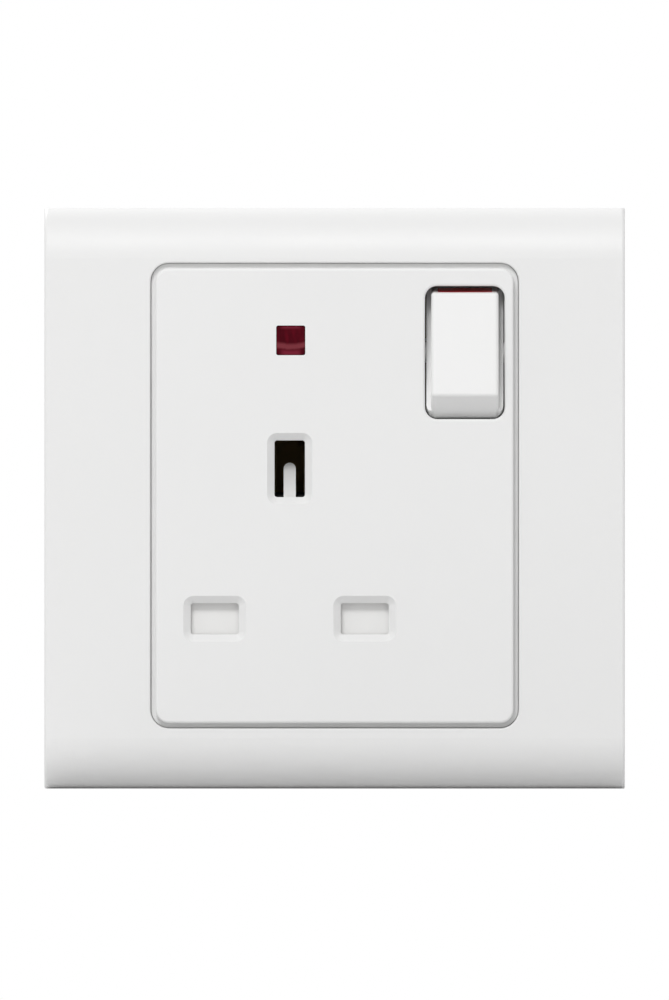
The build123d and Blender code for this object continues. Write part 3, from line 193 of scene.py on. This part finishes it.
# Colour of the painted light in the lens's edges
LENS_EDGE_PAINTED_LIGHT = (0.175, 0.016, 0.032)
LENS_BAND = (0.215, 0.040, 0.052)
GLASS, GLASS_STAIN = (0.93, 0.92, 0.90), (0.42, 0.40, 0.38)
LACQUER, LACQUER_PALE = (0.56, 0.42, 0.27), (0.66, 0.52, 0.36)
ORANGE, YELLOW, GOLD = (0.55, 0.20, 0.03), (0.60, 0.50, 0.04), (0.52, 0.38, 0.12)

# Bands of the resistor: place along it and half width in shares of its length
RESISTOR_BANDS = ((0.16, ORANGE), (0.36, ORANGE), (0.52, YELLOW), (0.80, GOLD))
BAND_EDGE = (0.050, 0.042)

# Sockets of a Mix node that mixes colours
MIX_FACTOR, MIX_FIRST, MIX_SECOND = 0, 6, 7
MIX_RESULT = 2


class Wire:
    """A number, colour or vector that runs through one finish. Maths on numbers adds Math nodes."""

    def __init__(self, finish, socket):
        self.finish = finish
        self.socket = socket

    def maths(self, operation, first, second):
        return self.finish.node("ShaderNodeMath", {"operation": operation}, {0: first, 1: second})

    def __add__(self, other):
        return self.maths("ADD", self, other)

    def __radd__(self, other):
        return self.maths("ADD", other, self)

    def __sub__(self, other):
        return self.maths("SUBTRACT", self, other)

    def __rsub__(self, other):
        return self.maths("SUBTRACT", other, self)

    def __mul__(self, other):
        return self.maths("MULTIPLY", self, other)

    def __rmul__(self, other):
        return self.maths("MULTIPLY", other, self)

    def __truediv__(self, other):
        return self.maths("DIVIDE", self, other)

    def __rtruediv__(self, other):
        return self.maths("DIVIDE", other, self)

    def __pow__(self, other):
        return self.maths("POWER", self, other)

    def __rpow__(self, other):
        return self.maths("POWER", other, self)


class Wiring:
    """The nodes of one material or world, with short words for the patterns in it."""

    def __init__(self, tree):
        self.tree = tree

    def feed(self, node, sockets):
        """Sets or links sockets, named by word or by number."""
        for key, value in sockets.items():
            socket = node.inputs[key.replace("_", " ") if isinstance(key, str) else key]
            if isinstance(value, Wire):
                self.tree.links.new(value.socket, socket)
            else:
                socket.default_value = value

    def node(self, kind, settings, sockets, out=0):
        """Adds a node: its settings first, then the values or links of its sockets."""
        made = self.tree.nodes.new(kind)
        for key, value in settings.items():
            setattr(made, key, value)
        self.feed(made, sockets)
        return Wire(self, made.outputs[out])

    def place(self):
        """Object coordinates of the surface, in metres."""
        return self.node("ShaderNodeTexCoord", {}, {}, "Object")

    def axis(self, letter):
        """One coordinate of the surface, in metres."""
        return self.node("ShaderNodeSeparateXYZ", {}, {0: self.place()}, letter)

    def grain(self, size, stretch=(1.0, 1.0, 1.0), detail=2.0, roughness=0.5):
        """Noise of the given grain size in metres, longer along an axis with a stretch above 1."""
        scale = tuple(1.0 / s for s in stretch)
        mapped = self.node("ShaderNodeMapping", {}, {"Vector": self.place(), "Scale": scale})
        sockets = {"Vector": mapped, "Scale": 1.0 / size, "Detail": detail, "Roughness": roughness}
        return self.node("ShaderNodeTexNoise", {}, sockets)

    def ramp(self, value, low, high, start=0.0, end=1.0):
        """Smooth step of value from low to high, clamped, scaled to start and end."""
        sockets = {"Value": value, "From Min": low, "From Max": high, "To Min": start, "To Max": end}
        return self.node("ShaderNodeMapRange", {"interpolation_type": "SMOOTHSTEP"}, sockets)

    def tint(self, factor, first, second):
        """Colour that goes from first to second as factor goes from 0 to 1."""
        first, second = (c if isinstance(c, Wire) else (*c, 1.0) for c in (first, second))
        sockets = {MIX_FACTOR: factor, MIX_FIRST: first, MIX_SECOND: second}
        return self.node("ShaderNodeMix", {"data_type": "RGBA"}, sockets, MIX_RESULT)

    def relief(self, height, depth):
        """Bumps of the given depth in metres."""
        return self.node("ShaderNodeBump", {}, {"Height": height, "Distance": depth, "Strength": 1.0})

    def seen(self):
        """1 for rays that show the background itself: straight, glossy and through glass."""
        rays = [self.node("ShaderNodeLightPath", {}, {}, kind)
                for kind in ("Is Camera Ray", "Is Glossy Ray", "Is Transmission Ray")]
        either = self.node("ShaderNodeMath", {"operation": "MAXIMUM"}, {0: rays[0], 1: rays[1]})
        return self.node("ShaderNodeMath", {"operation": "MAXIMUM"}, {0: either, 1: rays[2]})


class Finish(Wiring):
    """A material with one Principled shader."""

    def __init__(self, name, **sockets):
        self.material = bpy.data.materials.new(name)
        self.material.use_nodes = True
        super().__init__(self.material.node_tree)
        self.shader = self.tree.nodes["Principled BSDF"]
        self.shade(**sockets)

    def shade(self, **sockets):
        """Feeds the Principled shader, Base_Color for Base Color and so on."""
        self.feed(self.shader, sockets)


def darker(tone, share):
    """The given share of a colour."""
    return tuple(share * t for t in tone)


def moulded_white(name, tone, warmth=0.004, gloss=0.36):
    """Satin white moulding: faint flow clouds in the colour, a fine skin, and gloss that varies."""
    finish = Finish(name, IOR=PLASTIC_IOR, Coat_Roughness=0.35)
    clouds = finish.grain(FLOW, detail=1.0)
    speck = finish.grain(SPECK, detail=1.0)
    pale = (tone + warmth, tone + warmth * 0.7, tone)
    deep = tuple(tone - shade for shade in FLOW_SHADE)
    finish.shade(Base_Color=finish.tint(clouds * FLOW_SHARE + speck * (1 - FLOW_SHARE), deep, pale),
                 Roughness=finish.ramp(clouds, *HALF, gloss - 0.04, gloss + 0.05),
                 Coat_Weight=finish.ramp(speck, *MIDDLE, 0.02, 0.08),
                 Normal=finish.relief(finish.grain(SKIN), SKIN_DEPTH))
    return finish.material


def moulded_dull(name, tone, grain=SAND, depth=SAND_DEPTH):
    """Spark-eroded moulding: even colour with a sandy skin, and smoother rubbed patches."""
    finish = Finish(name, IOR=DULL_PLASTIC_IOR)
    sand = finish.grain(grain, detail=3.0, roughness=0.65)
    rubbed = finish.grain(RUBBED)
    lighter = tuple(min(1.0, t * SAND_GAIN + SAND_LIFT) for t in tone)
    mottle = finish.ramp(sand * SAND_SHARE + rubbed * (1 - SAND_SHARE), *MOST)
    finish.shade(Base_Color=finish.tint(mottle, tone, lighter),
                 Roughness=finish.ramp(rubbed, *MOST, 0.62, 0.50),
                 Normal=finish.relief(sand, depth))
    return finish.material


def red_insert(name):
    """Bright red moulding with a smooth skin."""
    finish = Finish(name, IOR=PLASTIC_IOR, Coat_Roughness=0.1)
    clouds = finish.grain(MARK_CLOUD)
    finish.shade(Base_Color=finish.tint(clouds, MARK_RED, MARK_RED_PALE),
                 Roughness=finish.ramp(clouds, *MOST, 0.30, 0.36),
                 Coat_Weight=finish.ramp(clouds, *MOST, 0.08, 0.14),
                 Normal=finish.relief(finish.grain(MARK_SKIN), MARK_SKIN_DEPTH))
    return finish.material


def red_lens(name):
    """Deep red clear moulding: a dark core, a paler band that sags across it, and painted light in two
    edges.
    """
    low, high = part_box("neon_lens")
    finish = Finish(name, IOR=LENS_IOR, Specular_IOR_Level=0.03)
    across = (finish.axis("X") - (low.x + high.x) / 2) / ((high.x - low.x) / 2 - LENS_LAP)
    height = (finish.axis("Z") - (low.z + high.z) / 2) / ((high.z - low.z) / 2 - LENS_LAP)
    streaks = finish.grain(LENS_STREAK, stretch=(1.0, 1.0, 3.0))
    sagging = height - across * across * LENS_SAG + (streaks - 0.5) * LENS_WAVER
    middle = finish.ramp(across * across, *LENS_SIDES)
    # Painted light: the top and lower edges are lighter, fading towards the sides
    painted_edge_light = middle * (finish.ramp(height, *LENS_TOP_EDGE_LIGHT) + finish.ramp(sagging, *LENS_LOW_EDGE_LIGHT))
    band = finish.ramp(sagging, *LENS_BAND_FOOT) * finish.ramp(sagging, *LENS_BAND_HEAD)
    core = finish.tint(finish.ramp(streaks, *MIDDLE), LENS_CORE, LENS_CORE_PALE)
    core_with_edge_light = finish.tint(painted_edge_light, core, LENS_EDGE_PAINTED_LIGHT)
    finish.shade(Base_Color=finish.tint(band * LENS_BAND_SHARE, core_with_edge_light, LENS_BAND),
                 Roughness=finish.ramp(streaks, *MOST, 0.10, 0.20),
                 Normal=finish.relief(finish.grain(LENS_RIPPLE), LENS_RIPPLE_DEPTH))
    return finish.material


def rolled_metal(name, tone, dark, along=(1.0, 1.0, 12.0), gloss=(0.24, 0.46)):
    """Rolled sheet: fine lines along the strip, a little tarnish in patches."""
    finish = Finish(name)
    lines = finish.grain(ROLLING, stretch=along)
    tarnish = finish.ramp(finish.grain(TARNISH, detail=4.0, roughness=0.6), *TARNISH_EDGE)
    clean = finish.tint(lines, darker(tone, ROLLING_SHADE), tone)
    finish.shade(Base_Color=finish.tint(tarnish * TARNISH_SHARE, clean, dark),
                 Metallic=finish.ramp(tarnish, 0.0, 1.0, 1.0, 0.86),
                 Roughness=finish.ramp(tarnish + lines * ROLLING_WEAR, 0.1, 1.2, *gloss),
                 Normal=finish.relief(lines, ROLLING_DEPTH))
    return finish.material


def turned_metal(name, tone, dark, centre_node):
    """Turned or milled metal: rings round the node's own axis along Y, with darker patches."""
    low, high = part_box(centre_node)
    finish = Finish(name)
    across = finish.axis("X") - (low.x + high.x) / 2
    up = finish.axis("Z") - (low.z + high.z) / 2
    turns = (across * across + up * up) ** 0.5 * (2 * math.pi / TOOL_PITCH)
    rings = finish.node("ShaderNodeMath", {"operation": "SINE"}, {0: turns})
    patches = finish.grain(PATCH, detail=4.0)
    finish.shade(Base_Color=finish.tint(finish.ramp(patches, *PATCH_EDGE), tone, dark),
                 Metallic=finish.ramp(patches, 0.3, 0.9, 1.0, 0.92),
                 Roughness=finish.ramp(patches, *MIDDLE, 0.22, 0.40),
                 Normal=finish.relief(rings, TOOL_DEPTH))
    return finish.material


def drawn_wire(name, tone):
    """Drawn wire: fine scratches along it and a dull plated sheen."""
    finish = Finish(name)
    scratches = finish.grain(SCRATCH, stretch=(4.0, 4.0, 1.0), detail=3.0)
    finish.shade(Base_Color=finish.tint(scratches, darker(tone, SCRATCH_SHADE), tone),
                 Metallic=finish.ramp(scratches, 0.1, 0.9, 0.94, 1.0),
                 Roughness=finish.ramp(scratches, *MOST, 0.24, 0.42),
                 Normal=finish.relief(scratches, SCRATCH_DEPTH))
    return finish.material


def lamp_glass(name):
    """Thin clear glass with a grey getter stain towards its base."""
    low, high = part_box("neon_lamp")
    finish = Finish(name, IOR=GLASS_IOR, Transmission_Weight=0.9)
    base = finish.ramp(finish.axis("Y"), low.y, high.y)
    stain = base * finish.grain(STAIN, detail=3.0)
    finish.shade(Base_Color=finish.tint(stain, GLASS, GLASS_STAIN),
                 Roughness=finish.ramp(stain, 0.1, 0.7, 0.03, 0.25))
    return finish.material


def banded_resistor(name):
    """Tan lacquered body with painted bands round it."""
    low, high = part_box("neon_resistor")
    finish = Finish(name, IOR=PLASTIC_IOR)
    along = (finish.axis("X") - low.x) / (high.x - low.x)
    colour = finish.tint(finish.grain(LACQUER_CLOUD), LACQUER, LACQUER_PALE)
    for middle, paint in RESISTOR_BANDS:
        away = finish.node("ShaderNodeMath", {"operation": "ABSOLUTE"}, {0: along - middle})
        colour = finish.tint(finish.ramp(away, *BAND_EDGE), colour, paint)
    finish.shade(Base_Color=colour,
                 Roughness=finish.ramp(finish.grain(LACQUER_SKIN), *MIDDLE, 0.32, 0.50))
    return finish.material


def dress(finish, *names):
    """Puts a finish into the material slots of the named nodes."""
    for name in names:
        for slot in NODES[name].material_slots:
            slot.material = finish


# The rocker's white is a little darker than the cover's: partly its own tone, partly painted shade for
# its lower end
ROCKER_WHITE = moulded_white("rocker_white", tone=0.82, gloss=0.38)
SPRING_WIRE = drawn_wire("spring_steel", STEEL)

dress(moulded_white("frame_white", tone=0.835, gloss=0.50), "front_frame")
dress(moulded_white("module_white", tone=0.840, gloss=0.46), "module_cover")
dress(ROCKER_WHITE, "rocker")
dress(red_insert("mark_red"), "rocker_mark")
dress(red_lens("lens_red"), "neon_lens")
# The shutter's white is a little darker and warmer than the cover's: painted shade and warm bounce light
# from inside the slots
dress(moulded_white("shutter_white", tone=0.815, warmth=0.022, gloss=0.45), "shutter")
dress(moulded_dull("mount_grey", MOUNT_GREY), "mounting_plate")
# The housing's black is partly its own colour, partly painted shade that keeps the inside of the slots
# near black
dress(moulded_dull("housing_dark", HOUSING_BLACK), "rear_housing")
dress(moulded_dull("plunger_nylon", NYLON, grain=FINE_SAND, depth=FINE_SAND_DEPTH), "rocker_plunger")
# The contacts' dark bronze is partly painted shade that keeps the earth slot near black
dress(rolled_metal("contact_brass", BRONZE, BRONZE_DARK, gloss=(0.75, 0.95)),
      "line_contact", "neutral_contact", "earth_contact", "line_feed_bracket")
dress(rolled_metal("lever_copper", COPPER, COPPER_DARK), "contact_lever")
for block in ("line_terminal", "neutral_terminal", "earth_terminal"):
    dress(turned_metal(block + "_brass", BRASS, BRASS_DARK, block), block)
dress(rolled_metal("screw_brass", BRASS, BRASS_DARK, along=(6.0, 1.0, 1.0)), "terminal_screws")
dress(rolled_metal("screw_steel", STEEL, STEEL_DARK, along=(3.0, 1.0, 3.0)), "housing_screws")
for tip in ("moving_contact_tip", "fixed_contact_tip"):
    dress(turned_metal(tip + "_silver", SILVER, SILVER_DARK, tip), tip)
dress(SPRING_WIRE, "shutter_spring", "rocker_spring")
dress(drawn_wire("tinned_lead", SILVER), "neon_lead_neutral", "neon_lead_line")
dress(lamp_glass("lamp_glass"), "neon_lamp")
dress(banded_resistor("resistor_bands"), "neon_resistor")


def skin_mesh(name, grids, finish):
    """One mesh of closed skins over grids of points[step, round, xyz].

    Each round is joined to the next by four-sided faces, and the first and last round are filled.
    """
    faces = []
    smooth = []
    first = 0
    for grid in grids:
        here = first + np.arange(grid.shape[0] * grid.shape[1]).reshape(grid.shape[:2])
        beside = np.roll(here, -1, axis=1)
        sides = np.stack([here[:-1], beside[:-1], beside[1:], here[1:]], axis=-1).reshape(-1, 4)
        ends = [here[0, ::-1], here[-1]]
        faces += [*sides.tolist(), *ends]
        smooth += [True] * len(sides) + [False] * len(ends)
        first += here.size
    mesh = bpy.data.meshes.new(name)
    mesh.from_pydata(np.concatenate([grid.reshape(-1, 3) for grid in grids]), [], faces)
    mesh.polygons.foreach_set("use_smooth", smooth)
    mesh.materials.append(finish)
    return mesh


def riding_piece(mesh, body):
    """Puts a finished mesh into the scene, on the body that carries it."""
    piece = bpy.data.objects.new(mesh.name, mesh)
    bpy.context.scene.collection.objects.link(piece)
    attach(piece, body)
    return piece


def coil_points(foot, along, start, length, wire, turns):
    """Round wire carried along a helix, as points[step, round, xyz].

    Path: p(t) = foot + along * length * t + COIL * n(t), with w = 2 * pi * turns * t
    and n(t) = start * cos(w) + (along x start) * sin(w).
    Wire: s(t, k) = p(t) + wire * (n(t) * cos(k) + b(t) * sin(k)), with b(t) = p'(t) / |p'(t)| x n(t).
    """
    side = np.cross(along, start)
    t = np.linspace(0.0, 1.0, turns * TURN_STEPS + 1)[:, None]
    w = 2 * np.pi * turns * t
    k = np.linspace(0.0, 2 * np.pi, WIRE_STEPS, endpoint=False)[:, None]
    outward = start * np.cos(w) + side * np.sin(w)
    forward = along * length + 2 * np.pi * turns * COIL * (side * np.cos(w) - start * np.sin(w))
    across = np.cross(forward / np.linalg.norm(forward, axis=1, keepdims=True), outward)
    path = foot + along * length * t + COIL * outward
    return path[:, None] + wire * (outward[:, None] * np.cos(k) + across[:, None] * np.sin(k))


def spring(node, body, foot, along, start, length, wire, turns):
    """Coil spring in place of a node: it stands on its foot and rides on its body."""
    points = coil_points(foot, along, start, length, wire, turns)
    piece = riding_piece(skin_mesh(node + "_coil", [points], SPRING_WIRE), body)
    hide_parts(node)
    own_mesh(piece)


def shutter_spring():
    """Stands on the cover's lower wall, under the shutter."""
    low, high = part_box("shutter_spring")
    foot = np.array([(low.x + high.x) / 2, (low.y + high.y) / 2, low.z + SHUTTER_WIRE])
    length = high.z - low.z - 2 * SHUTTER_WIRE
    spring("shutter_spring", "base", foot, UP, -RIGHT,
           length, SHUTTER_WIRE, SHUTTER_TURNS)


def rocker_spring():
    """Lies in the rocker's stem, from its closed end back to the plunger."""
    back = -np.array(JOINTS["plunger_slide"]["axis"])
    foot = np.array(JOINTS["rocker_pivot"]["pos_m"]) - back * ROCKER_SPRING_FOOT
    spring("rocker_spring", "rocker", foot, back, np.cross(back, RIGHT),
           ROCKER_SPRING_LENGTH, ROCKER_WIRE, ROCKER_TURNS)


def corner_points():
    """One corner of the rocker's flange, as points[step, round, (across, forward, along)] from the pivot.

    Profile: superellipse in the unit square, a(k) = (1 + sgn(cos k) * |cos k|^q) / 2 with q = 2 / power,
    and b(k) the same with sin k.
    Path: v from 0 inside the flange to 1 at the rocker's end, with f = back + (front - back) * b
    and s = s0(f) + (s1(f) - s0(f)) * v, where s0 = sqrt(start^2 - f^2) and s1 = end - flare * max(f, 0).
    Width: x = inside + (x1 - inside) * a. A point at radius r = sqrt(f^2 + s^2) enters the aperture
    e = half height - sqrt(r^2 - back^2) from its end, and x1 is the aperture's corner arc there, less
    the clearance.
    """
    k = np.linspace(0.0, 2 * np.pi, PROFILE_STEPS, endpoint=False)[None, ::-1]
    v = np.linspace(0.0, 1.0, CORNER_STEPS)[:, None]
    a = (1 + np.sign(np.cos(k)) * np.abs(np.cos(k)) ** (2 / FLANGE_POWER)) / 2
    b = (1 + np.sign(np.sin(k)) * np.abs(np.sin(k)) ** (2 / FLANGE_POWER)) / 2
    f = FLANGE_BACK + (FLANGE_FRONT - FLANGE_BACK) * b
    start = np.sqrt(FLANGE_START ** 2 - f ** 2)
    s = start + (ROCKER_END - ROCKER_FLARE * np.maximum(f, 0.0) - start) * v
    entry = APERTURE_HALF_HEIGHT - np.sqrt(f ** 2 + s ** 2 - APERTURE_BACK ** 2)
    inward = np.clip(APERTURE_CORNER - entry, 0.0, APERTURE_CORNER)
    arc = APERTURE_HALF_WIDTH - APERTURE_CORNER + np.sqrt(APERTURE_CORNER ** 2 - inward ** 2)
    widest = np.clip(arc - APERTURE_CLEARANCE, ROCKER_INSIDE, FLANGE_HALF_WIDTH)
    x = ROCKER_INSIDE + (widest - ROCKER_INSIDE) * a
    return np.stack([x, np.broadcast_to(f, s.shape), s], axis=-1)


def flange_corners():
    """Carries the rocker's flange round the four corners of the switch aperture.

    One corner is turned into the rocker's axes and mirrored sideways, endways and both ways. A corner
    mirrored once has its rounds counted the other way, so that its faces still point outwards.
    """
    forward = np.array(JOINTS["plunger_slide"]["axis"])
    endways = np.cross(forward, RIGHT)
    pivot = np.array(JOINTS["rocker_pivot"]["pos_m"])
    corner = corner_points()
    grids = []
    for side, end in ((1, 1), (1, -1), (-1, 1), (-1, -1)):
        points = pivot + corner @ np.array([side * RIGHT, forward, end * endways])
        grids.append(points if side * end > 0 else points[:, ::-1])
    riding_piece(skin_mesh("rocker_flange_corners", grids, ROCKER_WHITE), "rocker")


shutter_spring()
rocker_spring()
flange_corners()


def soft_lamp(name, azimuth, elevation, power):
    """Square soft lamp that faces the plate's middle. Azimuth 0 is in front, elevation is upwards."""
    a, e = math.radians(azimuth), math.radians(elevation)
    towards = np.array([math.sin(a) * math.cos(e), -math.cos(a) * math.cos(e), math.sin(e)])
    lamp = bpy.data.lights.new(name, "AREA")
    lamp.size = LAMP_SIZE
    lamp.energy = power
    piece = bpy.data.objects.new(name, lamp)
    piece.location = towards * LAMP_DISTANCE
    piece.rotation_euler = (math.pi / 2 - e, 0.0, a)
    bpy.context.scene.collection.objects.link(piece)


def grey(level):
    """Colour without a hue."""
    return (level, level, level)


def studio_world():
    """White to look at, and as light a soft sky: paler above, darker below."""
    world = bpy.data.worlds.new("studio")
    world.use_nodes = True
    sky = Wiring(world.node_tree)
    direction = sky.node("ShaderNodeTexCoord", {}, {}, "Generated")
    up = sky.node("ShaderNodeSeparateXYZ", {}, {0: direction}, "Z")
    light = sky.tint(sky.ramp(up, SKY_LOW, SKY_HIGH), grey(AMBIENT_BELOW), grey(AMBIENT_ABOVE))
    sky.feed(sky.tree.nodes["Background"], {"Color": sky.tint(sky.seen(), light, grey(1.0))})
    bpy.context.scene.world = world


def studio_floor():
    """Wide pale floor under the plate, lifted to white where it is seen, with the shadow kept."""
    half, z = FLOOR_SIZE / 2, PLATE_LOW.z - FLOOR_DROP
    corners = [(-half, -half, z), (half, -half, z), (half, half, z), (-half, half, z)]
    mesh = bpy.data.meshes.new("floor")
    mesh.from_pydata(corners, [], [(0, 1, 2, 3)])
    pale = Finish("floor_pale", Base_Color=(*grey(FLOOR_TONE), 1.0), Roughness=FLOOR_ROUGHNESS,
                  Specular_IOR_Level=0.0, Emission_Strength=1.0)
    across, along = pale.axis("X"), pale.axis("Y")
    away = (across * across + along * along) ** 0.5
    lift = pale.ramp(away, FLOOR_NEAR, FLOOR_FAR, FLOOR_LIFT, FLOOR_LIFT_FAR)
    pale.shade(Emission_Color=pale.tint(pale.seen() * lift, grey(0.0), grey(1.0)))
    mesh.materials.append(pale.material)
    floor = bpy.data.objects.new("floor", mesh)
    bpy.context.scene.collection.objects.link(floor)


def front_camera():
    """Camera without perspective, straight in front, with the plate where the picture has it."""
    metres = (PLATE_HIGH.z - PLATE_LOW.z) / PLATE_PIXELS
    camera = bpy.data.objects.new("camera", bpy.data.cameras.new("camera"))
    camera.data.type = "ORTHO"
    camera.data.ortho_scale = max(PICTURE) * metres
    x = (PICTURE[0] / 2 - PLATE_MIDDLE_PIXEL[0]) * metres
    z = (PLATE_MIDDLE_PIXEL[1] - PICTURE[1] / 2) * metres
    camera.location = (x, -CAMERA_DISTANCE, z)
    camera.rotation_euler = (math.pi / 2, 0.0, 0.0)
    bpy.context.scene.collection.objects.link(camera)
    bpy.context.scene.camera = camera


bpy.context.scene.view_settings.view_transform = "Standard"
studio_world()
studio_floor()
soft_lamp("key", KEY_AZIMUTH, KEY_ELEVATION, KEY_POWER)
soft_lamp("behind", BACK_AZIMUTH, BACK_ELEVATION, BACK_POWER)
front_camera()
